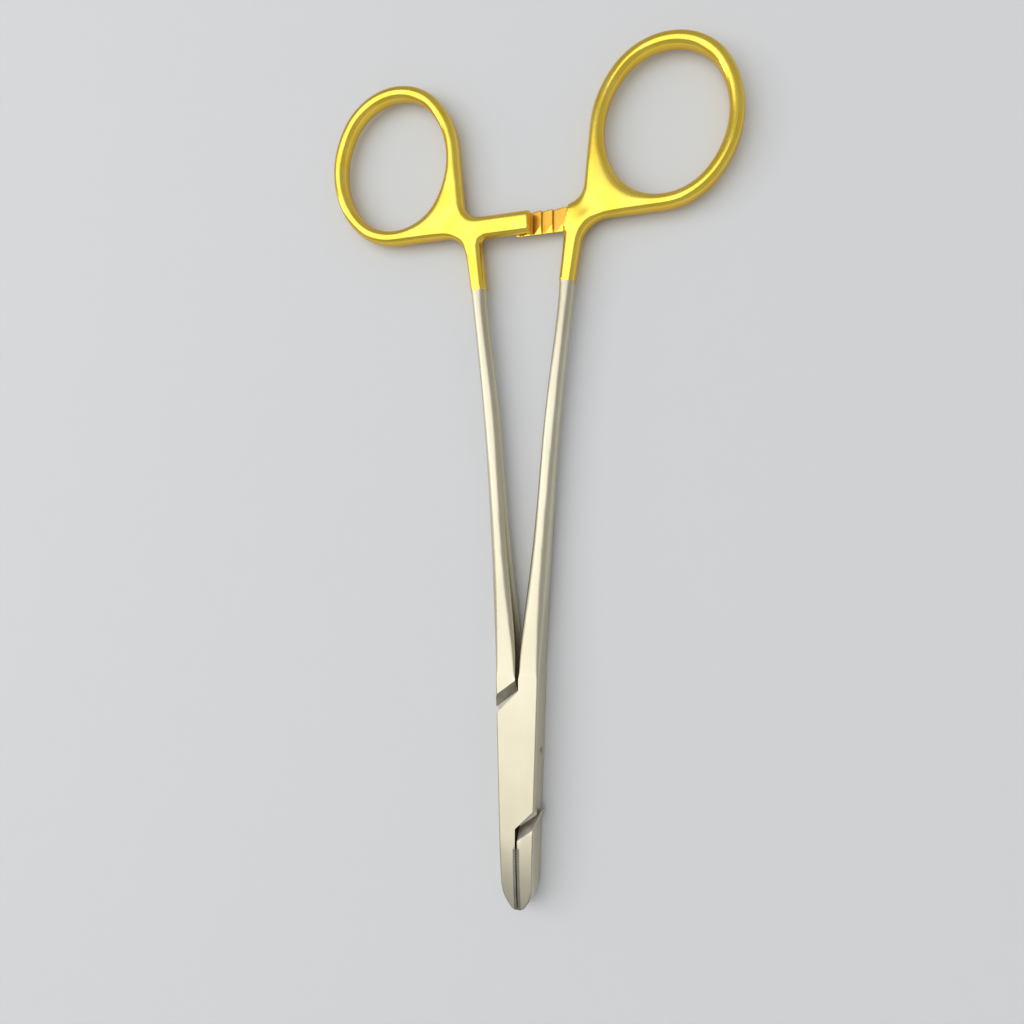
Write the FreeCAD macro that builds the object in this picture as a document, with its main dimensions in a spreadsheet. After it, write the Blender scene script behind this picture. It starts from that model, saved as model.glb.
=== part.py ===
# Surgical needle holder with a box lock, ratchet arms and hard inserts in its jaws.
# The origin lies on the pivot's axis, at the lower face of the box. +Y points to the finger
# rings, +X is the side of the female half's ring and +Z is up from the surface it lies on.
# Lengths are in millimetres, angles in degrees.
import FreeCAD, Part
import math
import os
import Sketcher

SIZES = {
    # Box lock
    "box_thickness": 5.4,
    "box_half": 3.5,
    "side_slope": 0.03,
    "plate_end": 11.4,
    "heel": 14.5,
    "slot_height": 2.4,
    "slot_clearance": 0.05,
    "wall_clearance": 0.08,
    "stop_angle": 52.0,
    "pin_radius": 1.15,
    "pin_clearance": 0.05,
    "ramp_foot": 11.7,
    "ramp_angle": 37.0,
    "ramp_run": 1.6,
    "ramp_ledge": 0.05,
    "rear_barb": 0.4,
    "front_barb": 0.75,
    "barb_length": 2.0,
    "edge_round": 0.4,
    # Jaws and inserts
    "jaw_length": 25.4,
    "jaw_gap": 0.2,
    "nose_length": 4.6,
    "nose_flat": 0.9,
    "nose_round": 0.6,
    "taper_start": 12.6,
    "tip_thickness": 3.2,
    "insert_length": 10.5,
    "insert_thickness": 0.55,
    "grip_gap": 0.03,
    "serration_pitch": 0.5,
    "serration_depth": 0.14,
    "serration_rows": 20,
    "serration_lines": 5,
    # Shanks
    "shank_gap": 0.3,
    "gap_edge_round": 0.05,
    "neck_place": 22.0,
    "neck_centre": 2.53,
    "neck_width": 3.8,
    "neck_height": 5.1,
    "neck_round": 1.1,
    "calf_place": 32.0,
    "calf_centre": 3.42,
    "calf_width": 3.45,
    "calf_height": 4.5,
    "calf_round": 1.6,
    "waist_place": 50.0,
    "waist_centre": 4.86,
    "waist_width": 3.0,
    "waist_height": 3.5,
    "waist_round": 1.4,
    "wrist_place": 68.0,
    "wrist_centre": 6.6,
    "wrist_width": 2.8,
    "wrist_height": 3.3,
    "wrist_round": 1.3,
    "stub_place": 84.0,
    "stub_centre": 8.4,
    "stub_width": 2.9,
    "stub_step": 0.03,
    # Rings, webs and ratchet arms
    "grip_height": 3.4,
    "grip_round": 1.2,
    "ring_across": 25.8,
    "ring_along": 110.3,
    "ring_long": 14.4,
    "ring_wide": 12.0,
    "ring_end_inset": 1.1,
    "ring_lean": 6.0,
    "ring_wire": 1.3,
    "web_lean": 5.5,
    "web_upper_round": 3.6,
    "web_lower_round": 4.9,
    "inner_slope": 0.11,
    "outer_slope": 0.16,
    "arm_front": 93.35,
    "arm_rear": 97.6,
    "arm_reach": 1.5,
    "arm_corner": 1.0,
    "arm_end_round": 0.4,
    "arm_lip": 0.1,
    "arm_shoulder": 0.45,
    "arm_clearance": 0.03,
    "tooth_pitch": 2.1,
    "tooth_depth": 0.6,
    "tooth_place": 0.77,
    "tooth_count": 4,
    "tooth_bevel_width": 1.5,
    "tooth_bevel_drop": 0.42,
}

doc = FreeCAD.newDocument("NeedleHolder")
sheet = doc.addObject("Spreadsheet::Sheet", "Sizes")
for row, (alias, number) in enumerate(SIZES.items(), start=1):
    sheet.set("A%d" % row, alias)
    sheet.set("B%d" % row, str(number))
    sheet.setAlias("B%d" % row, alias)
doc.recompute()


class Size:
    """A value of the sheet, or a sum of some, that keeps its own formula for setExpression."""

    def __init__(self, value, text):
        self.value = value
        self.text = text

    def __add__(self, other):
        other = sized(other)
        return Size(self.value + other.value, "(%s + %s)" % (self.text, other.text))

    def __sub__(self, other):
        other = sized(other)
        return Size(self.value - other.value, "(%s - %s)" % (self.text, other.text))

    def __mul__(self, other):
        other = sized(other)
        return Size(self.value * other.value, "(%s * %s)" % (self.text, other.text))

    def __truediv__(self, other):
        other = sized(other)
        return Size(self.value / other.value, "(%s / %s)" % (self.text, other.text))

    def __radd__(self, other):
        return sized(other) + self

    def __rsub__(self, other):
        return sized(other) - self

    def __rmul__(self, other):
        return sized(other) * self

    def __rtruediv__(self, other):
        return sized(other) / self

    def __neg__(self):
        return sized(0) - self


def sized(number):
    if isinstance(number, Size):
        return number
    return Size(float(number), "(%r)" % float(number))


def root(size):
    return Size(math.sqrt(size.value), "sqrt(%s)" % size.text)


def sine(angle):
    return Size(math.sin(math.radians(angle.value)), "sin(%s)" % angle.text)


def cosine(angle):
    return Size(math.cos(math.radians(angle.value)), "cos(%s)" % angle.text)


def tangent(angle):
    return Size(math.tan(math.radians(angle.value)), "tan(%s)" % angle.text)


class Dimensions:
    """The sheet's values by their aliases."""

    def __getattr__(self, alias):
        return Size(float(sheet.get(alias)), "Sizes.%s" % alias)


dim = Dimensions()
RIGHT = 1
LEFT = -1
middle = dim.box_thickness / 2
BEYOND = 1.0
STEEP = 0.6


def origin_plane(body, role):
    return [feature for feature in body.Origin.OriginFeatures if feature.Role == role][0]


def new_sketch(body, name, plane, lift):
    sketch = body.newObject("Sketcher::SketchObject", name)
    sketch.AttachmentSupport = (origin_plane(body, plane), [""])
    sketch.MapMode = "FlatFace"
    sketch.setExpression("AttachmentOffset.Base.z", sized(lift).text)
    return sketch


def arc_between(start, end, radius, turn):
    """Arc of less than half a circle from start to end, counterclockwise where turn is 1."""
    chord = end - start
    height = math.sqrt(radius ** 2 - (chord.Length / 2) ** 2)
    normal = FreeCAD.Vector(-chord.y, chord.x, 0).normalize()
    centre = (start + end) / 2 + normal * height * turn
    first = start - centre
    last = end - centre
    if turn < 0:
        first, last = last, first
    circle = Part.Circle(centre, FreeCAD.Vector(0, 0, 1), radius)
    return Part.ArcOfCircle(circle, math.atan2(first.y, first.x), math.atan2(last.y, last.x))


def draw(sketch, corners):
    """Close an outline whose corners and radii are tied to the sheet.

    A corner is (x, y), or (x, y, radius, turn) where an arc leaves it.
    """
    count = len(corners)
    base = sketch.GeometryCount
    points = [FreeCAD.Vector(corner[0].value, corner[1].value, 0) for corner in corners]
    heads = []
    tails = []
    for index, corner in enumerate(corners):
        start = points[index]
        end = points[(index + 1) % count]
        if len(corner) == 2:
            sketch.addGeometry(Part.LineSegment(start, end), False)
            turn = 1
        else:
            turn = corner[3]
            sketch.addGeometry(arc_between(start, end, corner[2].value, turn), False)
        heads.append(1 if turn > 0 else 2)
        tails.append(2 if turn > 0 else 1)
    for index, corner in enumerate(corners):
        following = (index + 1) % count
        sketch.addConstraint(Sketcher.Constraint(
            "Coincident", base + index, tails[index], base + following, heads[following]))
        for kind, size in (("DistanceX", corner[0]), ("DistanceY", corner[1])):
            place = sketch.addConstraint(Sketcher.Constraint(
                kind, -1, 1, base + index, heads[index], size.value))
            sketch.setExpression("Constraints[%d]" % place, size.text)
        if len(corner) == 4:
            place = sketch.addConstraint(Sketcher.Constraint("Radius", base + index, corner[2].value))
            sketch.setExpression("Constraints[%d]" % place, corner[2].text)


def pad(body, sketch, name, length):
    feature = body.newObject("PartDesign::Pad", name)
    feature.Profile = sketch
    feature.setExpression("Length", length.text)
    doc.recompute()
    return feature


def cut(body, sketch, name, length, symmetric=False):
    """Pocket that starts at its sketch and must take something away."""
    before = body.Shape.Volume
    feature = body.newObject("PartDesign::Pocket", name)
    feature.Profile = sketch
    feature.setExpression("Length", length.text)
    if symmetric:
        feature.SideType = "Symmetric"
    doc.recompute()
    if not body.Shape.Volume < before:
        raise ValueError("%s takes nothing away" % name)
    return feature


def edges_where(feature, test):
    """Names of the feature's edges whose middle point passes the test."""
    names = []
    for index, edge in enumerate(feature.Shape.Edges, start=1):
        place = edge.valueAt((edge.FirstParameter + edge.LastParameter) / 2)
        if test(edge, place):
            names.append("Edge%d" % index)
    if not names:
        raise ValueError("no edge found on %s" % feature.Name)
    return names


def dress(body, kind, name, size_name, size, test):
    """Fillet or chamfer the edges of the body's last feature that pass the test."""
    base = body.Tip
    names = edges_where(base, test)
    feature = body.newObject("PartDesign::%s" % kind, name)
    feature.Base = (base, names)
    feature.setExpression(size_name, size.text)
    doc.recompute()
    return feature


def fillet(body, name, radius, test):
    return dress(body, "Fillet", name, "Radius", radius, test)


def is_upright(edge):
    low = edge.valueAt(edge.FirstParameter)
    high = edge.valueAt(edge.LastParameter)
    return math.hypot(high.x - low.x, high.y - low.y) < 0.001


def near(place, x, y, reach=0.2):
    return math.hypot(place.x - x, place.y - y) < reach


# The sides of box and jaws are two straight lines that close towards the tip.
def side_at(along):
    return dim.box_half + dim.side_slope * along


# Outline of one finger ring, made of four arcs: two ends and two sides.
end_radius = dim.ring_wide - dim.ring_end_inset
end_reach = dim.ring_long - end_radius
side_radius = ((end_reach * end_reach + dim.ring_wide * dim.ring_wide - end_radius * end_radius)
               / (2 * dim.ring_end_inset))
side_reach = side_radius - dim.ring_wide
arc_spread = side_radius - end_radius


def ring_point(side, along, across):
    x = dim.ring_across + along * sine(dim.ring_lean) + across * cosine(dim.ring_lean)
    y = dim.ring_along + along * cosine(dim.ring_lean) - across * sine(dim.ring_lean)
    return x * side, y


def ring_corner(side, offset, end, flank):
    """Point where an end arc meets a side arc, on the ring's centre line moved by offset."""
    share = (end_radius + offset) / arc_spread
    return ring_point(side, end * end_reach * (1 + share), flank * side_reach * share)


def inner_edge(along):
    start = dim.stub_centre - dim.stub_width / 2
    return start + dim.inner_slope * (along - dim.stub_place)


def outer_edge(along):
    start = dim.stub_centre + dim.stub_width / 2
    return start + dim.outer_slope * (along - dim.stub_place)


def grip_outline(side):
    """Outer edge of ring, web, arm and stub, counterclockwise on the right side."""
    wire = dim.ring_wire
    end_arc = (end_radius + wire, side)
    side_arc = (side_radius + wire, side)
    low_centre = ring_point(side, -end_reach, 0)
    low_point = (low_centre[0], low_centre[1] - end_radius - wire)
    flank_centre = ring_point(side, sized(0), side_reach)
    web_x = flank_centre[0] - side * (side_radius + wire) * cosine(dim.web_lean)
    web_y = flank_centre[1] + (side_radius + wire) * sine(dim.web_lean)
    web_foot = web_x - side * (web_y - dim.arm_rear) * tangent(dim.web_lean)
    arm_end = -side * (dim.arm_reach + 2 * BEYOND)
    return [
        (arm_end, dim.arm_front),
        (side * inner_edge(dim.arm_front), dim.arm_front),
        (side * inner_edge(dim.stub_place), dim.stub_place),
        (side * outer_edge(dim.stub_place), dim.stub_place),
        (side * outer_edge(low_point[1]), low_point[1]),
        low_point + end_arc,
        ring_corner(side, wire, -1, 1) + side_arc,
        ring_corner(side, wire, 1, 1) + end_arc,
        ring_corner(side, wire, 1, -1) + side_arc,
        (web_x, web_y),
        (web_foot, dim.arm_rear),
        (arm_end, dim.arm_rear),
    ]


def make_grip(name, side):
    """Finger ring, web and ratchet arm, with a stub of the shank."""
    body = doc.addObject("PartDesign::Body", name)
    plate = new_sketch(body, name + "_outline", "XY_Plane", middle - dim.grip_height / 2)
    draw(plate, grip_outline(side))
    inner = -dim.ring_wire
    draw(plate, [
        ring_corner(side, inner, -1, 1) + (side_radius + inner, side),
        ring_corner(side, inner, 1, 1) + (end_radius + inner, side),
        ring_corner(side, inner, 1, -1) + (side_radius + inner, side),
        ring_corner(side, inner, -1, -1) + (end_radius + inner, side),
    ])
    pad(body, plate, name + "_plate", dim.grip_height)
    outline = [(corner[0].value, corner[1].value) for corner in grip_outline(side)]
    rounds = (
        ("_web_upper", dim.web_upper_round, (10,)),
        ("_web_lower", dim.web_lower_round, (4,)),
        ("_arm_corner", dim.arm_corner, (1,)),
    )
    for suffix, radius, places in rounds:
        chosen = [outline[place] for place in places]
        fillet(body, name + suffix, radius, lambda edge, place: is_upright(edge)
               and any(near(place, x, y) for x, y in chosen))
    faces = (middle.value - dim.grip_height.value / 2, middle.value + dim.grip_height.value / 2)
    stub_end = dim.stub_place.value
    fillet(body, name + "_rounding", dim.grip_round, lambda edge, place:
           min(abs(place.z - face) for face in faces) < 0.001 and place.y > stub_end + 0.001)
    square_arm(body, name, side)
    return body


def square_arm(body, name, side):
    """Cut the rounded arm off square and break the corners of its end."""
    end = new_sketch(body, name + "_arm_cut", "XY_Plane", middle + dim.grip_height / 2)
    near_x = -side * dim.arm_reach
    far_x = -side * (dim.arm_reach + 3 * BEYOND)
    before = dim.arm_front - BEYOND
    after = dim.arm_rear + BEYOND
    draw(end, [(near_x, before), (far_x, before), (far_x, after), (near_x, after)])
    cut(body, end, name + "_arm_square", dim.grip_height)
    corners = [(near_x.value, y.value) for y in (dim.arm_front, dim.arm_rear)]
    fillet(body, name + "_arm_end", dim.arm_end_round, lambda edge, place: is_upright(edge)
           and any(near(place, x, y) for x, y in corners))


def add_teeth(body, name, side):
    """Halve the arm at the middle plane and cut its ratchet teeth.

    The arm on the right keeps its lower half and the arm on the left its upper half.
    """
    face = middle - side * dim.arm_clearance
    depth = dim.grip_height / 2 + dim.arm_clearance
    top = middle + dim.grip_height / 2 if side > 0 else face
    half = new_sketch(body, name + "_halving", "XY_Plane", top)
    before = dim.arm_front - dim.arm_corner - BEYOND
    after = dim.arm_rear + BEYOND
    tip = -side * (dim.arm_reach + BEYOND)
    draw(half, [
        (tip, before),
        (side * (inner_edge(before) - dim.arm_lip), before),
        (side * (inner_edge(after) + dim.arm_shoulder), after),
        (tip, after),
    ])
    cut(body, half, name + "_half", depth)
    across = new_sketch(body, name + "_tooth_outline", "XZ_Plane", -(dim.arm_front + dim.arm_rear) / 2)
    crest = -side * dim.tooth_place
    draw(across, [
        (crest, face),
        (crest, face - side * dim.tooth_depth),
        (crest + side * dim.tooth_pitch, face),
    ])
    tooth = cut(body, across, name + "_tooth", dim.arm_rear - dim.arm_front + 2 * BEYOND, True)
    row = body.newObject("PartDesign::LinearPattern", name + "_teeth")
    row.Originals = [tooth]
    row.Direction = (across, ["H_Axis"])
    row.Reversed = side < 0
    row.setExpression("Length", (dim.tooth_pitch * (dim.tooth_count - 1)).text)
    row.setExpression("Occurrences", dim.tooth_count.text)
    body.Tip = row
    doc.recompute()
    bevel = new_sketch(body, name + "_bevel_outline", "YZ_Plane", 0)
    outside = dim.arm_front - BEYOND
    fall = dim.tooth_bevel_drop * (1 + BEYOND / dim.tooth_bevel_width)
    draw(bevel, [
        (dim.arm_front + dim.tooth_bevel_width, face),
        (outside, face - side * fall),
        (outside, face),
    ])
    last_root = dim.tooth_pitch * dim.tooth_count - dim.tooth_place
    cut(body, bevel, name + "_bevel", 2 * last_root, True)


def section(body, name, side, along, centre, width, height, corner, inner_corner=None):
    """Upright section of a shank: a rectangle whose corners are rounded."""
    sketch = new_sketch(body, name, "XZ_Plane", -along)
    low = middle - height / 2
    high = middle + height / 2
    left = side * centre - width / 2
    right = side * centre + width / 2
    bends = [inner_corner or corner, corner]
    left_bend, right_bend = bends[::side]
    draw(sketch, [
        (left + left_bend, low),
        (right - right_bend, low, right_bend, 1),
        (right, low + right_bend),
        (right, high - right_bend, right_bend, 1),
        (right - right_bend, high),
        (left + left_bend, high, left_bend, 1),
        (left, high - left_bend),
        (left, low + left_bend, left_bend, 1),
    ])
    return sketch


def make_shank(name, side):
    """Shank lofted from the round stub of the grip to the box, where it is square."""
    body = doc.addObject("PartDesign::Body", name)
    step = dim.stub_step
    stub = section(body, name + "_stub", side, dim.stub_place, dim.stub_centre,
                   dim.stub_width - 2 * step, dim.grip_height - 2 * step, dim.grip_round)
    heel_outer = side_at(dim.heel)
    others = [
        section(body, name + "_wrist", side, dim.wrist_place, dim.wrist_centre,
                dim.wrist_width, dim.wrist_height, dim.wrist_round),
        section(body, name + "_waist", side, dim.waist_place, dim.waist_centre,
                dim.waist_width, dim.waist_height, dim.waist_round),
        section(body, name + "_calf", side, dim.calf_place, dim.calf_centre,
                dim.calf_width, dim.calf_height, dim.calf_round),
        section(body, name + "_neck", side, dim.neck_place, dim.neck_centre,
                dim.neck_width, dim.neck_height, dim.neck_round),
        section(body, name + "_heel", side, dim.heel, (heel_outer + dim.shank_gap) / 2,
                heel_outer - dim.shank_gap - 2 * step, dim.box_thickness - 2 * step,
                dim.edge_round, dim.gap_edge_round),
    ]
    loft = body.newObject("PartDesign::AdditiveLoft", name + "_loft")
    loft.Profile = stub
    loft.Sections = others
    doc.recompute()
    return body


def disc_touch(x, y, radius):
    """Point where the line from (x, y) touches the circle of that radius about the pivot."""
    reach = x * x + y * y
    free = root(reach - radius * radius)
    square = radius * radius
    return ((square * x + radius * free * y) / reach,
            (square * y - radius * free * x) / reach)


# The tenon's disc turns between the box's sides and is flush with them.
side_factor = root(1 + dim.side_slope * dim.side_slope)
disc_radius = dim.box_half / side_factor
wall_radius = disc_radius + dim.wall_clearance
ramp_slope = tangent(dim.ramp_angle)


def slot_side(side, gap, crotch):
    """Edge of the slot on one side: crotch, inner corner of the stop and a point outside."""
    touch_x, touch_y = disc_touch(side * gap, side * crotch, wall_radius)
    lean = dim.stop_angle - side * Size(math.degrees(math.atan(dim.side_slope.value)),
                                        "(atan(%s) / 1 deg)" % dim.side_slope.text)
    stop_x = side * cosine(lean)
    stop_y = side * sine(lean)
    normal_x = touch_x / wall_radius
    normal_y = touch_y / wall_radius
    share = wall_radius / (1 + normal_x * stop_x + normal_y * stop_y)
    return [
        (side * gap, side * crotch),
        (share * (normal_x + stop_x), share * (normal_y + stop_y)),
        (wall_radius * stop_x + dim.box_half * stop_y, wall_radius * stop_y - dim.box_half * stop_x),
    ]


def nose(side):
    """Corners of one jaw's outer edge: the start of its round nose and the tip."""
    start_y = dim.nose_length - dim.jaw_length
    start_x = side_at(start_y)
    run_x = dim.nose_flat - start_x
    run_y = -dim.nose_length
    leaning = (run_x + dim.side_slope * dim.nose_length) / side_factor
    radius = (run_x * run_x + run_y * run_y) / (-2 * leaning)
    return (side * start_x, start_y, radius, -side), (side * dim.nose_flat, -dim.jaw_length)


def round_nose(body, name):
    """Break the corners between the nose and the flat tip."""
    fillet(body, name, dim.nose_round, lambda edge, place: is_upright(edge)
           and near(place, math.copysign(dim.nose_flat.value, place.x), -dim.jaw_length.value))


def taper_jaw(body, name):
    """Thin the jaw towards its tip, above and below, along an arc that starts flush."""
    outer = -(dim.jaw_length + BEYOND)
    drop = (dim.box_thickness - dim.tip_thickness) / 2
    run = dim.jaw_length - dim.taper_start
    bend = (run * run + drop * drop) / (2 * drop)
    fall = bend - root(bend * bend - (run + BEYOND) * (run + BEYOND))
    width = 2 * (dim.box_half + BEYOND)
    for suffix, face, sign in (("_above", dim.box_thickness, 1), ("_below", sized(0), -1)):
        wedge = new_sketch(body, name + suffix + "_outline", "YZ_Plane", 0)
        draw(wedge, [
            (-dim.taper_start, face, bend, sign),
            (outer, face - sign * fall),
            (outer, face + sign * BEYOND),
            (-dim.taper_start, face + sign * BEYOND),
        ])
        cut(body, wedge, name + suffix, width, True)


def seat_insert(body, name, side):
    """Step in the jaw's inner face that the insert is brazed to."""
    seat = new_sketch(body, name + "_seat_outline", "XY_Plane", dim.box_thickness)
    deep = side * (dim.grip_gap + dim.insert_thickness)
    front = -(dim.jaw_length + BEYOND)
    rear = dim.insert_length - dim.jaw_length
    draw(seat, [(sized(0), front), (deep, front), (deep, rear), (sized(0), rear)])
    cut(body, seat, name + "_seat", dim.box_thickness)


def bore(body, name, radius):
    hole = new_sketch(body, name + "_outline", "XY_Plane", dim.box_thickness)
    circle = Part.Circle(FreeCAD.Vector(0, 0, 0), FreeCAD.Vector(0, 0, 1), radius.value)
    rim = hole.addGeometry(circle, False)
    hole.addConstraint(Sketcher.Constraint("Coincident", rim, 3, -1, 1))
    place = hole.addConstraint(Sketcher.Constraint("Radius", rim, radius.value))
    hole.setExpression("Constraints[%d]" % place, radius.text)
    cut(body, hole, name, dim.box_thickness)


def is_rim(edge, place):
    """True for the long outer edges of box and jaws, above and below."""
    along = edge.tangentAt((edge.FirstParameter + edge.LastParameter) / 2)
    return (abs(along.x) < STEEP and abs(along.z) < STEEP
            and abs(place.x) > dim.box_half.value / 2
            and abs(place.z - middle.value) > dim.slot_height.value / 2)


def make_box():
    """Female half of the lock: two plates, the walls between them and the left jaw."""
    body = doc.addObject("PartDesign::Body", "box")
    base = new_sketch(body, "box_outline", "XY_Plane", 0)
    gap = dim.shank_gap
    rear_x = -(dim.box_half + dim.side_slope * dim.plate_end) / (1 + dim.side_slope)
    front_x = (dim.box_half - dim.side_slope * dim.plate_end) / (1 - dim.side_slope)
    nose_start, tip = nose(LEFT)
    draw(base, [
        (gap, dim.heel),
        (gap, dim.plate_end + gap),
        (rear_x, dim.plate_end + rear_x),
        nose_start,
        tip,
        (-dim.jaw_gap, -dim.jaw_length),
        (-dim.jaw_gap, -dim.plate_end - dim.jaw_gap),
        (front_x, front_x - dim.plate_end),
        (side_at(dim.heel), dim.heel),
    ])
    pad(body, base, "box_block", dim.box_thickness)
    round_nose(body, "box_nose")
    taper_jaw(body, "box_taper")
    fillet(body, "box_rounding", dim.edge_round, is_rim)
    slot = new_sketch(body, "box_slot_outline", "XY_Plane", middle + dim.slot_height / 2)
    far = 2 * dim.box_half
    right = slot_side(RIGHT, gap, dim.plate_end + gap)
    left = slot_side(LEFT, dim.jaw_gap, dim.plate_end + dim.jaw_gap)
    draw(slot, [
        (gap, dim.heel),
        *right,
        (far, right[2][1]),
        (far, -dim.heel),
        (-dim.jaw_gap, -dim.heel),
        *left,
        (-far, left[2][1]),
        (-far, dim.heel),
    ])
    cut(body, slot, "box_slot", dim.slot_height)
    bore(body, "box_bore", dim.pin_radius)
    seat_insert(body, "box", LEFT)
    return body


def foot_corner(side, barb):
    """Outer end of a ramp's foot, where the barb stands out of the box's side."""
    reach = dim.box_half + barb - side * dim.side_slope * dim.ramp_foot
    x = reach / (1 - side * dim.side_slope * ramp_slope)
    y = x * ramp_slope - dim.ramp_foot
    return side * x, side * y


def cut_ramps(body, rise):
    """Slope the shoulders down to the tenon, behind and before the box, above and below."""
    ramps = new_sketch(body, "tenon_ramps_outline", "XZ_Plane", 0)
    turned = FreeCAD.Rotation(FreeCAD.Vector(0, 1, 0), 90 + dim.ramp_angle.value)
    ramps.AttachmentOffset = FreeCAD.Placement(FreeCAD.Vector(0, 0, 0), turned)
    ramps.setExpression("AttachmentOffset.Rotation.Angle", (dim.ramp_angle + 90).text)
    foot = dim.ramp_foot * cosine(dim.ramp_angle)
    for end in (1, -1):
        for face, sign in ((dim.box_thickness, 1), (sized(0), -1)):
            draw(ramps, [
                (end * (foot - BEYOND), face - sign * rise),
                (end * foot, face - sign * rise),
                (end * (foot + dim.ramp_run * (rise + BEYOND) / rise), face + sign * BEYOND),
                (end * (foot - BEYOND), face + sign * BEYOND),
            ])
    cut(body, ramps, "tenon_ramps", 6 * dim.box_half, True)


def make_tenon():
    """Male half of the lock: the tenon, the ramps behind and before it and the right jaw."""
    body = doc.addObject("PartDesign::Body", "tenon")
    gap = dim.shank_gap
    foot_x = dim.box_half / (side_factor * side_factor)
    foot_y = dim.side_slope * foot_x
    height = dim.slot_height - 2 * dim.slot_clearance
    base = new_sketch(body, "tenon_outline", "XY_Plane", middle - height / 2)
    inner = dim.plate_end + gap
    front = dim.plate_end + dim.jaw_gap
    deep = dim.ramp_foot + dim.barb_length
    draw(base, [
        (-gap, deep),
        (-gap, inner),
        disc_touch(-gap, inner, disc_radius) + (disc_radius, -1),
        (foot_x, -foot_y),
        (side_at(-dim.plate_end), -dim.plate_end),
        (dim.jaw_gap, -deep),
        (dim.jaw_gap, -front),
        disc_touch(dim.jaw_gap, -front, disc_radius) + (disc_radius, -1),
        (-foot_x, -foot_y),
        (-side_at(dim.plate_end), dim.plate_end),
    ])
    pad(body, base, "tenon_plate", height)
    rear_x, rear_y = foot_corner(LEFT, dim.rear_barb)
    rear = new_sketch(body, "tenon_shoulder_outline", "XY_Plane", 0)
    flank = rear_y + dim.barb_length
    draw(rear, [
        (-gap, dim.heel),
        (-side_at(dim.heel), dim.heel),
        (-side_at(flank), flank),
        (rear_x, rear_y),
        (-gap, dim.ramp_foot - gap * ramp_slope),
    ])
    pad(body, rear, "tenon_shoulder", dim.box_thickness)
    front_x, front_y = foot_corner(RIGHT, dim.front_barb)
    jaw = new_sketch(body, "tenon_jaw_outline", "XY_Plane", 0)
    flank = front_y - dim.barb_length
    nose_start, tip = nose(RIGHT)
    draw(jaw, [
        (dim.jaw_gap, dim.jaw_gap * ramp_slope - dim.ramp_foot),
        (front_x, front_y),
        (side_at(flank), flank),
        nose_start,
        tip,
        (dim.jaw_gap, -dim.jaw_length),
    ])
    pad(body, jaw, "tenon_jaw", dim.box_thickness)
    round_nose(body, "tenon_nose")
    taper_jaw(body, "tenon_taper")
    fillet(body, "tenon_rounding", dim.edge_round, is_rim)
    cut_ramps(body, (dim.box_thickness - height) / 2 - dim.ramp_ledge)
    bore(body, "tenon_bore", dim.pin_radius + dim.pin_clearance)
    seat_insert(body, "tenon", RIGHT)
    return body


def make_insert(name, side):
    """Hard grip plate in a jaw, with grooves across and along its inner face."""
    body = doc.addObject("PartDesign::Body", name)
    base = new_sketch(body, name + "_outline", "XY_Plane", 0)
    inner = side * dim.grip_gap
    outer = side * (dim.grip_gap + dim.insert_thickness)
    rear = dim.insert_length - dim.jaw_length
    draw(base, [
        (inner, rear),
        (inner, -dim.jaw_length),
        (outer, -dim.jaw_length),
        (outer, rear),
    ])
    pad(body, base, name + "_plate", dim.box_thickness)
    taper_jaw(body, name + "_taper")
    groove = new_sketch(body, name + "_groove_outline", "XY_Plane", dim.box_thickness)
    first = rear - dim.serration_pitch / 2
    half = dim.serration_pitch / 2
    draw(groove, [
        (inner, first + half),
        (inner + side * dim.serration_depth, first),
        (inner, first - half),
    ])
    notch = cut(body, groove, name + "_groove", dim.box_thickness)
    row = body.newObject("PartDesign::LinearPattern", name + "_grooves")
    row.Originals = [notch]
    row.Direction = (groove, ["V_Axis"])
    row.Reversed = True
    row.setExpression("Length", (dim.serration_pitch * (dim.serration_rows - 1)).text)
    row.setExpression("Occurrences", dim.serration_rows.text)
    body.Tip = row
    doc.recompute()
    line = new_sketch(body, name + "_line_outline", "XZ_Plane", (dim.jaw_length + dim.taper_start) / 2)
    low = middle - dim.serration_pitch * (dim.serration_lines - 1) / 2
    draw(line, [
        (inner, low + half),
        (inner + side * dim.serration_depth, low),
        (inner, low - half),
    ])
    length = dim.jaw_length
    scratch = cut(body, line, name + "_line", length, True)
    lines = body.newObject("PartDesign::LinearPattern", name + "_lines")
    lines.Originals = [scratch]
    lines.Direction = (line, ["V_Axis"])
    lines.setExpression("Length", (dim.serration_pitch * (dim.serration_lines - 1)).text)
    lines.setExpression("Occurrences", dim.serration_lines.text)
    body.Tip = lines
    doc.recompute()
    return body


def join(name, bodies):
    """One forging, made of its lock, shank and grip."""
    whole = doc.addObject("Part::MultiFuse", name)
    whole.Shapes = bodies
    doc.recompute()
    return whole


def make_pin():
    pin = doc.addObject("Part::Cylinder", "pivot_pin")
    pin.setExpression("Radius", dim.pin_radius.text)
    pin.setExpression("Height", dim.box_thickness.text)
    return pin


parts = {}
for name, side, lock in (("female_half", RIGHT, make_box), ("male_half", LEFT, make_tenon)):
    grip = make_grip(name + "_grip", side)
    add_teeth(grip, name + "_arm", side)
    shank = make_shank(name + "_shank", side)
    parts[name] = join(name, [lock(), shank, grip])
parts["pivot_pin"] = make_pin()
parts["female_insert"] = make_insert("female_insert_plate", LEFT)
parts["male_insert"] = make_insert("male_insert_plate", RIGHT)
doc.recompute()

for item in doc.Objects:
    if "Invalid" in item.State or "Error" in item.State:
        raise RuntimeError("%s failed to build: %s" % (item.Name, item.State))
os.makedirs("parts", exist_ok=True)
for name, part in parts.items():
    part.Label = name
    shape = part.Shape
    if shape.isNull() or not shape.isValid():
        raise RuntimeError("%s has no valid shape" % name)
    if len(shape.Solids) != 1:
        raise RuntimeError("%s is %d solids" % (name, len(shape.Solids)))
    shape.exportStep("parts/%s.step" % name)
    print(name, "volume", round(shape.Volume, 2))
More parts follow.
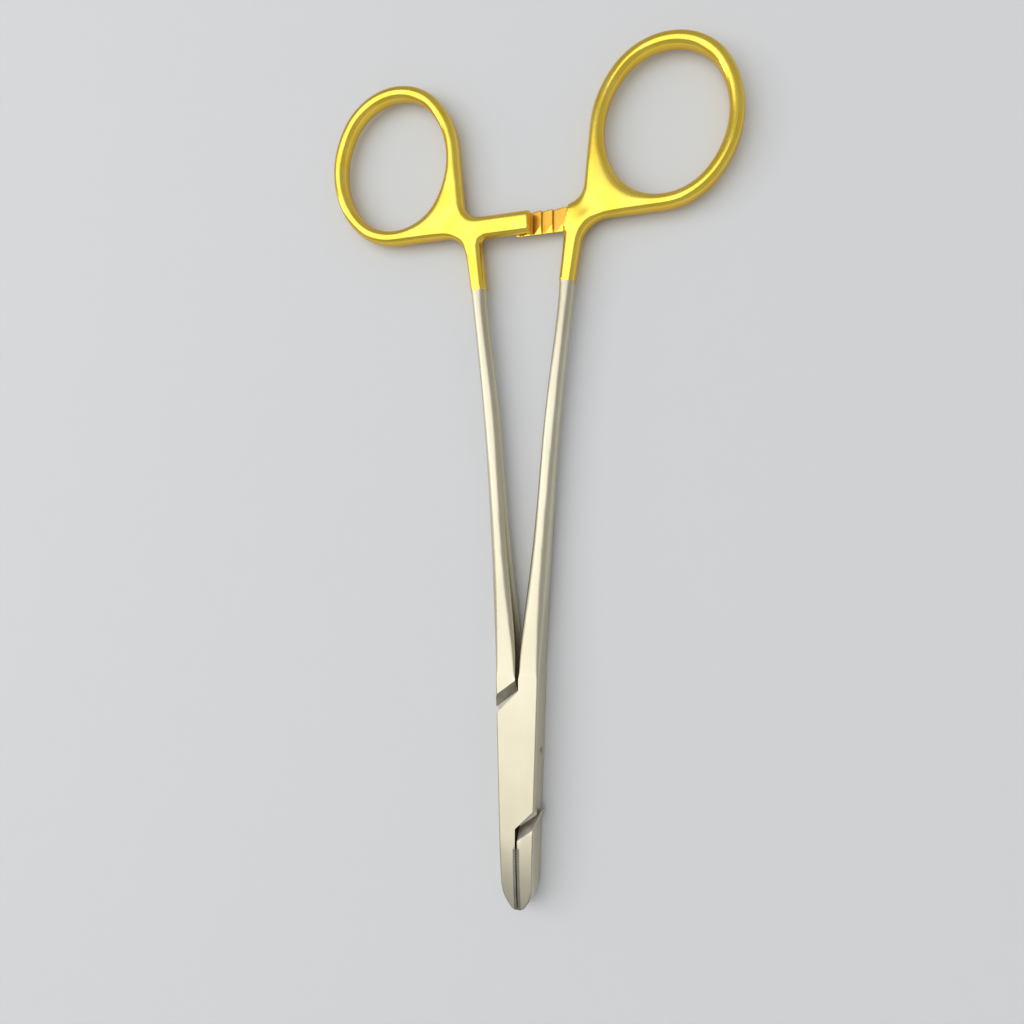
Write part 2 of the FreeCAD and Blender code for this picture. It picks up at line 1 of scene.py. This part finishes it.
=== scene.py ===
import math

import bpy
from mathutils import Matrix, Vector


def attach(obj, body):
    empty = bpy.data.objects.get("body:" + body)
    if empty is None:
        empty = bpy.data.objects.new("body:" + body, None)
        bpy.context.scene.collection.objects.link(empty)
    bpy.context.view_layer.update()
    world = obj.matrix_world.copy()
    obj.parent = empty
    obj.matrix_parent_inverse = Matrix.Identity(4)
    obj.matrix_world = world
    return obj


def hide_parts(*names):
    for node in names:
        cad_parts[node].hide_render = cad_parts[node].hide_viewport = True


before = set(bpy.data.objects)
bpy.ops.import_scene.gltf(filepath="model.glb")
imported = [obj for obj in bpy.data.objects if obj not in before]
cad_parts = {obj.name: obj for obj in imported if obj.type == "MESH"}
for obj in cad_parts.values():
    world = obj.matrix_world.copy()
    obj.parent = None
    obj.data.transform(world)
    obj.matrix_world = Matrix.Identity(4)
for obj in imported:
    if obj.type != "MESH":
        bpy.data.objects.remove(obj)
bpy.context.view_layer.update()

MM = 0.001

# Where the plating starts on the middle of each shank, and how far the shank leans there
plating_x = 8.4 * MM
plating_y = 83.6 * MM
plating_lean = math.radians(7.6)

# Where the milled lock and the smoother shank are joined, just before the heel of the box
lock_end = 14.0 * MM

# Half the height of the slot with some room, and how far the round middle of the lock reaches
slot_reach = 1.5 * MM
disc_reach = 7 * MM

# Height at which the two ratchet arms meet, and the arms' front edge, rear edge and root
parting_z = 2.7 * MM
arm_front = 93.35 * MM
arm_rear = 97.6 * MM
arm_root = 7.9 * MM

# Highest spot of the web between shank, arm and ring, and the spots of the hollow beside it
web_crown = (15.0 * MM, 98.0 * MM)
web_reach = 5.5 * MM
hollow_reach = 3.2 * MM
hollow_share = 0.95
web_hollow = [(12.0 * MM, 97.0 * MM), (13.6 * MM, 96.4 * MM), (15.2 * MM, 95.8 * MM)]

# Width of the broken edges, mesh size of shank and grip, and what they are made too long by
edge_width = 0.06 * MM
bar_mesh = 0.2 * MM
grip_mesh = 0.14 * MM
spare_at_lock = 1.5 * MM
spare_at_plating = 2 * MM

# Angle in degrees below which neighbouring faces count as one plane
level_angle = 0.02


# Materials

def new_material(name, colour, roughness, metallic=1.0):
    """Material with one Principled shader, and that shader."""
    material = bpy.data.materials.new(name)
    material.use_nodes = True
    shader = material.node_tree.nodes["Principled BSDF"]
    shader.inputs["Base Color"].default_value = (*colour, 1.0)
    shader.inputs["Roughness"].default_value = roughness
    shader.inputs["Metallic"].default_value = metallic
    return material, shader


def placed(material, scale, turn=(0.0, 0.0, 0.0), shift=0.0):
    """The object's own coordinates, turned and stretched."""
    nodes = material.node_tree.nodes
    place = nodes.new("ShaderNodeTexCoord")
    mapping = nodes.new("ShaderNodeMapping")
    mapping.inputs["Scale"].default_value = scale
    mapping.inputs["Rotation"].default_value = turn
    mapping.inputs["Location"].default_value = (shift, shift, shift)
    material.node_tree.links.new(place.outputs["Object"], mapping.inputs["Vector"])
    return mapping.outputs["Vector"]


def grain(material, scale, detail=2.0, shift=0.0):
    """Noise whose spots are stretched by the three scales per metre."""
    noise = material.node_tree.nodes.new("ShaderNodeTexNoise")
    noise.inputs["Scale"].default_value = 1.0
    noise.inputs["Detail"].default_value = detail
    material.node_tree.links.new(placed(material, scale, shift=shift), noise.inputs["Vector"])
    return noise.outputs["Fac"]


def lines(material, pitch, turn=(0.0, 0.0, 0.0), wander=0.0):
    """Parallel waves of the given pitch in metres."""
    wave = material.node_tree.nodes.new("ShaderNodeTexWave")
    wave.inputs["Scale"].default_value = 0.314 / pitch
    wave.inputs["Distortion"].default_value = wander
    wave.inputs["Detail"].default_value = 1.0
    material.node_tree.links.new(placed(material, (1.0, 1.0, 1.0), turn), wave.inputs["Vector"])
    return wave.outputs["Fac"]


def spread(material, source, low, high, start=0.3, end=0.7):
    """The source's middle range stretched between two values."""
    node = material.node_tree.nodes.new("ShaderNodeMapRange")
    node.inputs["From Min"].default_value = start
    node.inputs["From Max"].default_value = end
    node.inputs["To Min"].default_value = low
    node.inputs["To Max"].default_value = high
    material.node_tree.links.new(source, node.inputs["Value"])
    return node.outputs["Result"]


def tint(material, shader, source, dark, light):
    """Base colour that drifts between two tones."""
    ramp = material.node_tree.nodes.new("ShaderNodeValToRGB")
    ramp.color_ramp.elements[0].position = 0.35
    ramp.color_ramp.elements[0].color = (*dark, 1.0)
    ramp.color_ramp.elements[1].position = 0.65
    ramp.color_ramp.elements[1].color = (*light, 1.0)
    material.node_tree.links.new(source, ramp.inputs["Fac"])
    material.node_tree.links.new(ramp.outputs["Color"], shader.inputs["Base Color"])


def painted_edge_shade(material, shader, tone):
    """Painted shade: a deeper, redder tone where the surface turns away from the eye."""
    nodes = material.node_tree.nodes
    links = material.node_tree.links
    face_on = shader.inputs["Base Color"].links[0].from_socket
    turned = nodes.new("ShaderNodeLayerWeight")
    turned.inputs["Blend"].default_value = 0.5
    mix = nodes.new("ShaderNodeMix")
    mix.data_type = "RGBA"
    mix.inputs["B"].default_value = (*tone, 1.0)
    share = spread(material, turned.outputs["Facing"], 0.0, 0.85, start=0.25, end=0.85)
    links.new(share, mix.inputs["Factor"])
    links.new(face_on, mix.inputs["A"])
    links.new(mix.outputs["Result"], shader.inputs["Base Color"])


def relief(material, shader, source, height, strength):
    """Bump of the given height in metres."""
    bump = material.node_tree.nodes.new("ShaderNodeBump")
    bump.inputs["Distance"].default_value = height
    bump.inputs["Strength"].default_value = strength
    material.node_tree.links.new(source, bump.inputs["Height"])
    material.node_tree.links.new(bump.outputs["Normal"], shader.inputs["Normal"])


def roughen(material, shader, source, low, high):
    """Roughness that drifts between two values."""
    result = spread(material, source, low, high)
    material.node_tree.links.new(result, shader.inputs["Roughness"])


def make_satin_steel():
    """Brushed steel, with fine streaks along the shanks and jaws."""
    material, shader = new_material("satin_steel", (0.66, 0.61, 0.46), 0.34)
    brushing = grain(material, (11000, 700, 11000), detail=3.0)
    handling = grain(material, (130, 60, 130), shift=4.0)
    tint(material, shader, handling, (0.63, 0.58, 0.43), (0.69, 0.64, 0.49))
    roughen(material, shader, brushing, 0.30, 0.37)
    relief(material, shader, brushing, 0.002 * MM, 0.25)
    return material


def make_milled_and_shaded_steel():
    """Cutter lines on the ramps between shoulders and tenon, on a darker base colour that is
    painted shade on the ramps and on the recessed tenon ledge.
    """
    # Painted shade: the dark base tones stand in for the shade on the ramps and in the recess
    # beside the plates.
    material, shader = new_material("milled_and_shaded_steel", (0.46, 0.44, 0.39), 0.42)
    cutter = lines(material, 0.16 * MM, turn=(0.0, 0.0, math.radians(53)), wander=0.6)
    patches = grain(material, (700, 700, 700), shift=9.0)
    tint(material, shader, patches, (0.36, 0.34, 0.30), (0.50, 0.47, 0.42))
    roughen(material, shader, patches, 0.36, 0.5)
    relief(material, shader, cutter, 0.012 * MM, 0.5)
    return material


def make_gold_plating():
    """Polished plating with faint waves and hairlines, and painted shade in a deeper orange towards
    its edges.
    """
    material, shader = new_material("gold_plating", (0.97, 0.71, 0.10), 0.20)
    polishing = grain(material, (260, 260, 260), detail=1.0, shift=2.0)
    hairlines = grain(material, (9000, 9000, 9000), detail=2.0, shift=7.0)
    tint(material, shader, polishing, (0.95, 0.68, 0.08), (0.99, 0.74, 0.12))
    # Painted shade: deeper orange where the plating turns away from the eye.
    painted_edge_shade(material, shader, (0.62, 0.30, 0.015))
    roughen(material, shader, hairlines, 0.16, 0.21)
    relief(material, shader, polishing, 0.010 * MM, 0.4)
    return material


def make_ratchet_gold():
    """Plating over the milled faces of the ratchet: orange and satin."""
    material, shader = new_material("ratchet_gold", (0.88, 0.50, 0.09), 0.34)
    milling = lines(material, 0.14 * MM, turn=(0.0, 0.0, math.radians(90)), wander=0.8)
    patches = grain(material, (900, 400, 900), shift=5.0)
    tint(material, shader, patches, (0.80, 0.42, 0.05), (0.90, 0.54, 0.09))
    roughen(material, shader, patches, 0.3, 0.4)
    relief(material, shader, milling, 0.001 * MM, 0.4)
    return material


def make_carbide():
    """Dark hard metal of the grip plates, ground to a fine dull grain."""
    material, shader = new_material("carbide", (0.30, 0.28, 0.24), 0.5)
    grit = grain(material, (16000, 16000, 16000), detail=3.0)
    clouds = grain(material, (600, 300, 600), shift=3.0)
    tint(material, shader, clouds, (0.25, 0.23, 0.19), (0.34, 0.32, 0.27))
    roughen(material, shader, grit, 0.42, 0.58)
    relief(material, shader, grit, 0.006 * MM, 0.4)
    return material


satin_steel = make_satin_steel()
milled_and_shaded_steel = make_milled_and_shaded_steel()
gold_plating = make_gold_plating()
ratchet_gold = make_ratchet_gold()
carbide = make_carbide()


# Tools for shaping

def take_up(*pieces):
    """Select these pieces alone, in object mode, the first of them active."""
    bpy.ops.object.select_all(action="DESELECT")
    for piece in pieces:
        piece.select_set(True)
    bpy.context.view_layer.objects.active = pieces[0]


def edit_all(piece):
    """Go into edit mode with the whole mesh of this piece selected."""
    take_up(piece)
    bpy.ops.object.mode_set(mode="EDIT")
    bpy.ops.mesh.select_all(action="SELECT")


def merged_copy(node, name):
    """Copy of a node's mesh with its loose triangles joined."""
    piece = bpy.data.objects.new(name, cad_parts[node].data.copy())
    bpy.context.scene.collection.objects.link(piece)
    edit_all(piece)
    bpy.ops.mesh.remove_doubles(threshold=0.001 * MM)
    bpy.ops.object.mode_set(mode="OBJECT")
    return piece


def twin(piece, name):
    """Second object with a copy of the mesh."""
    copy = bpy.data.objects.new(name, piece.data.copy())
    bpy.context.scene.collection.objects.link(copy)
    return copy


def slice_off(piece, point, normal, close=True):
    """Remove what lies behind the plane, and close the cut unless told not to."""
    edit_all(piece)
    bpy.ops.mesh.bisect(plane_co=point, plane_no=normal, use_fill=close, clear_inner=True,
                        threshold=0.0001 * MM)
    bpy.ops.object.mode_set(mode="OBJECT")


def apply_modifier(piece, name, kind, **values):
    """Add a modifier with these settings and apply it at once."""
    take_up(piece)
    modifier = piece.modifiers.new(name, kind)
    for key, value in values.items():
        setattr(modifier, key, value)
    bpy.ops.object.modifier_apply(modifier=modifier.name)


def weigh(piece, name, weight_at):
    """Vertex group whose weight at each vertex comes from its place."""
    group = piece.vertex_groups.new(name=name)
    for vertex in piece.data.vertices:
        weight = min(max(weight_at(vertex.co), 0.0), 1.0)
        if weight > 0.0:
            group.add([vertex.index], weight, "REPLACE")
    return group.name


def set_finish(piece, *materials):
    piece.data.materials.clear()
    for material in materials:
        piece.data.materials.append(material)


def shade_by_angle(piece, degrees):
    take_up(piece)
    bpy.ops.object.shade_smooth_by_angle(angle=math.radians(degrees))


def press(piece, spots, share, reach):
    """Squeeze top and bottom together round the spots, less with distance from them."""
    take_up(piece)
    for spot in spots:
        for vertex in piece.data.vertices:
            apart = math.hypot(vertex.co.x - spot[0], vertex.co.y - spot[1])
            vertex.select = apart < 0.4 * MM
        bpy.ops.object.mode_set(mode="EDIT")
        bpy.ops.transform.resize(value=(1, 1, share), center_override=(spot[0], spot[1], parting_z),
                                 use_proportional_edit=True, proportional_edit_falloff="SMOOTH",
                                 proportional_size=reach)
        bpy.ops.object.mode_set(mode="OBJECT")


def plating_line(side):
    """Middle of the shank where the plating starts, and the direction towards the ring."""
    lean = Vector((side * math.sin(plating_lean), math.cos(plating_lean), 0))
    return Vector((side * plating_x, plating_y, 0)), lean


def beyond_plating(place, side):
    """Distance past the line where the plating starts."""
    return ((side * place.x - plating_x) * math.sin(plating_lean)
            + (place.y - plating_y) * math.cos(plating_lean))


# The two halves: box and jaw, shank, and gold grip

def make_lock(whole, name):
    """Box or tenon with its jaw, its edges broken."""
    lock = twin(whole, name)
    slice_off(lock, (0, lock_end, 0), (0, -1, 0), close=False)
    edit_all(lock)
    bpy.ops.mesh.dissolve_limited(angle_limit=math.radians(level_angle))
    bpy.ops.object.mode_set(mode="OBJECT")
    apply_modifier(lock, "broken_edges", "BEVEL", width=edge_width, segments=2,
                   limit_method="ANGLE", angle_limit=math.radians(32))
    bpy.ops.object.mode_set(mode="EDIT")
    bpy.ops.mesh.select_mode(type="EDGE")
    bpy.ops.mesh.select_all(action="DESELECT")
    bpy.ops.mesh.select_non_manifold(extend=False)
    bpy.ops.mesh.edge_face_add()
    bpy.ops.mesh.mark_sharp()
    bpy.ops.object.mode_set(mode="OBJECT")
    shade_by_angle(lock, 40)
    apply_modifier(lock, "flat_faces", "WEIGHTED_NORMAL", keep_sharp=True, weight=90)
    set_finish(lock, satin_steel, milled_and_shaded_steel)
    # Ramps and the recessed tenon ledge take the darker milled steel: its cutter lines are real,
    # its darker base is painted shade.
    for face in lock.data.polygons:
        level = abs(face.normal.z)
        ramp = 0.3 < level < 0.93 and abs(face.normal.y) > 0.25
        ledge = level > 0.93 and abs(face.center.z - parting_z) < slot_reach
        if ledge or (ramp and abs(face.center.y) > disc_reach):
            face.material_index = 1
    return lock


def make_bar(whole, name, side):
    """Steel part of the shank, from the box to the plating."""
    bar = twin(whole, name)
    line, lean = plating_line(side)
    slice_off(bar, (0, lock_end - spare_at_lock, 0), (0, 1, 0))
    slice_off(bar, line + spare_at_plating * lean, -lean)
    apply_modifier(bar, "even_mesh", "REMESH", mode="VOXEL", voxel_size=bar_mesh)

    def clear_of_ends(place):
        past_lock = (place.y - lock_end) / (2 * MM) - 0.05
        return min(past_lock, -beyond_plating(place, side) / MM + 1)

    middle_part = weigh(bar, "middle_part", clear_of_ends)
    apply_modifier(bar, "rubbed", "SMOOTH", factor=0.5, iterations=24, vertex_group=middle_part)
    slice_off(bar, line, -lean)
    slice_off(bar, (0, lock_end, 0), (0, 1, 0))
    set_finish(bar, satin_steel)
    shade_by_angle(bar, 50)
    return bar


def make_grip(whole, name, side):
    """Gold part: end of the shank, web, finger ring and ratchet arm."""
    grip = twin(whole, name)
    line, lean = plating_line(side)
    slice_off(grip, line - spare_at_plating * lean, lean)
    apply_modifier(grip, "even_mesh", "REMESH", mode="VOXEL", voxel_size=grip_mesh)

    def softness(place):
        inside = (side * place.x - arm_root - MM) / (2.5 * MM)
        clear_of_arm = max(inside, (arm_front - place.y) / MM, (place.y - arm_rear) / MM)
        back = (parting_z - place.z) * side / MM - 0.6
        return min(max(clear_of_arm, min(back, 0.5)), beyond_plating(place, side) / (3 * MM))

    def web_share(place):
        apart = math.hypot(side * place.x - web_crown[0], place.y - web_crown[1])
        return 1.3 - apart / web_reach

    forged = weigh(grip, "forged", softness)
    apply_modifier(grip, "polished", "SMOOTH", factor=0.5, iterations=50, vertex_group=forged)
    press(grip, [(side * x, y) for x, y in web_hollow], hollow_share, hollow_reach)
    web = weigh(grip, "web", web_share)
    apply_modifier(grip, "crowned", "SMOOTH", factor=0.5, iterations=200, vertex_group=web,
                   use_x=False, use_y=False)
    slice_off(grip, line, lean)
    set_finish(grip, gold_plating, ratchet_gold)
    for face in grip.data.polygons:
        place = face.center
        above = (place.z - parting_z) * side
        on_arm = arm_front < place.y < arm_rear and side * place.x < arm_root + 0.4 * MM
        mating = above > -0.75 * MM and face.normal.z * side > 0.3
        steep = abs(face.normal.x) > 0.6 and abs(above) < 0.8 * MM
        bright_edge = abs(face.normal.y) > 0.2
        if on_arm and above < 0.1 * MM and (mating or steep) and not bright_edge:
            face.material_index = 1
    shade_by_angle(grip, 40)
    return grip


def make_half(node, body, side):
    """One half of the instrument: its three parts joined, in place of the CAD's node."""
    whole = merged_copy(node, node + "_whole")
    parts = [
        make_lock(whole, node + "_forging"),
        make_bar(whole, node + "_bar", side),
        make_grip(whole, node + "_grip", side),
    ]
    bpy.data.objects.remove(whole)
    take_up(*parts)
    bpy.ops.object.join()
    half = parts[0]
    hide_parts(node)
    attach(half, body)
    return half


make_half("female_half", "female", 1)
make_half("male_half", "male", -1)

finishes = {"pivot_pin": satin_steel, "female_insert": carbide, "male_insert": carbide}
for node, material in finishes.items():
    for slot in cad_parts[node].material_slots:
        slot.link = "OBJECT"
        slot.material = material


# Floor, backdrop and light

def make_paper():
    """Matt paper under and behind the instrument."""
    material, shader = new_material("paper", (0.80, 0.81, 0.82), 0.85, metallic=0.0)
    fibres = grain(material, (900, 900, 900), detail=4.0)
    relief(material, shader, fibres, 0.02 * MM, 0.2)
    return material


paper = make_paper()

room_radius = 1.6
room_height = 1.6
bpy.ops.mesh.primitive_circle_add(vertices=96, radius=room_radius, fill_type="NGON")
floor = bpy.context.object
floor.name = "floor"
set_finish(floor, paper)

bpy.ops.mesh.primitive_cylinder_add(vertices=96, radius=room_radius, depth=room_height,
                                    end_fill_type="NOTHING", location=(0, 0, room_height / 2))
backdrop = bpy.context.object
backdrop.name = "backdrop"
set_finish(backdrop, paper)


def soft_lamp(name, place, target, width, height, power):
    """Rectangular lamp that faces the target, with its power in watts."""
    data = bpy.data.lights.new(name, "AREA")
    data.shape = "RECTANGLE"
    data.size = width
    data.size_y = height
    data.energy = power
    lamp = bpy.data.objects.new(name, data)
    bpy.context.scene.collection.objects.link(lamp)
    lamp.location = place
    lamp.rotation_euler = (Vector(target) - Vector(place)).to_track_quat("-Z", "Y").to_euler()


middle = (0, 0.05, 0)
soft_lamp("overhead_softbox", (-0.45, 0.12, 1.05), middle, 1.25, 1.8, 8.2)
soft_lamp("left_strip", (-1.10, 0.30, 0.40), middle, 0.2, 0.9, 1.2)

world = bpy.data.worlds.new("studio")
bpy.context.scene.world = world
world.use_nodes = True
world.node_tree.nodes["Background"].inputs["Color"].default_value = (0.43, 0.435, 0.44, 1.0)
world.node_tree.nodes["Background"].inputs["Strength"].default_value = 1.0

bpy.context.scene.view_settings.view_transform = "Standard"


# Camera at the photograph's viewing angle

camera_data = bpy.data.cameras.new("camera")
camera_data.lens = 27.55
camera_data.sensor_width = 36.0
camera_data.clip_start = 0.005
camera_data.clip_end = 10.0
camera = bpy.data.objects.new("camera", camera_data)
bpy.context.scene.collection.objects.link(camera)
right = Vector((0.94936, 0.00485, -0.31414))
up = Vector((0.01505, 0.99803, 0.06089))
back = Vector((0.31382, -0.06253, 0.94742))
turn = Matrix((right, up, back)).transposed().to_4x4()
camera.matrix_world = Matrix.Translation((0.04215, 0.03408, 0.13557)) @ turn
bpy.context.scene.camera = camera
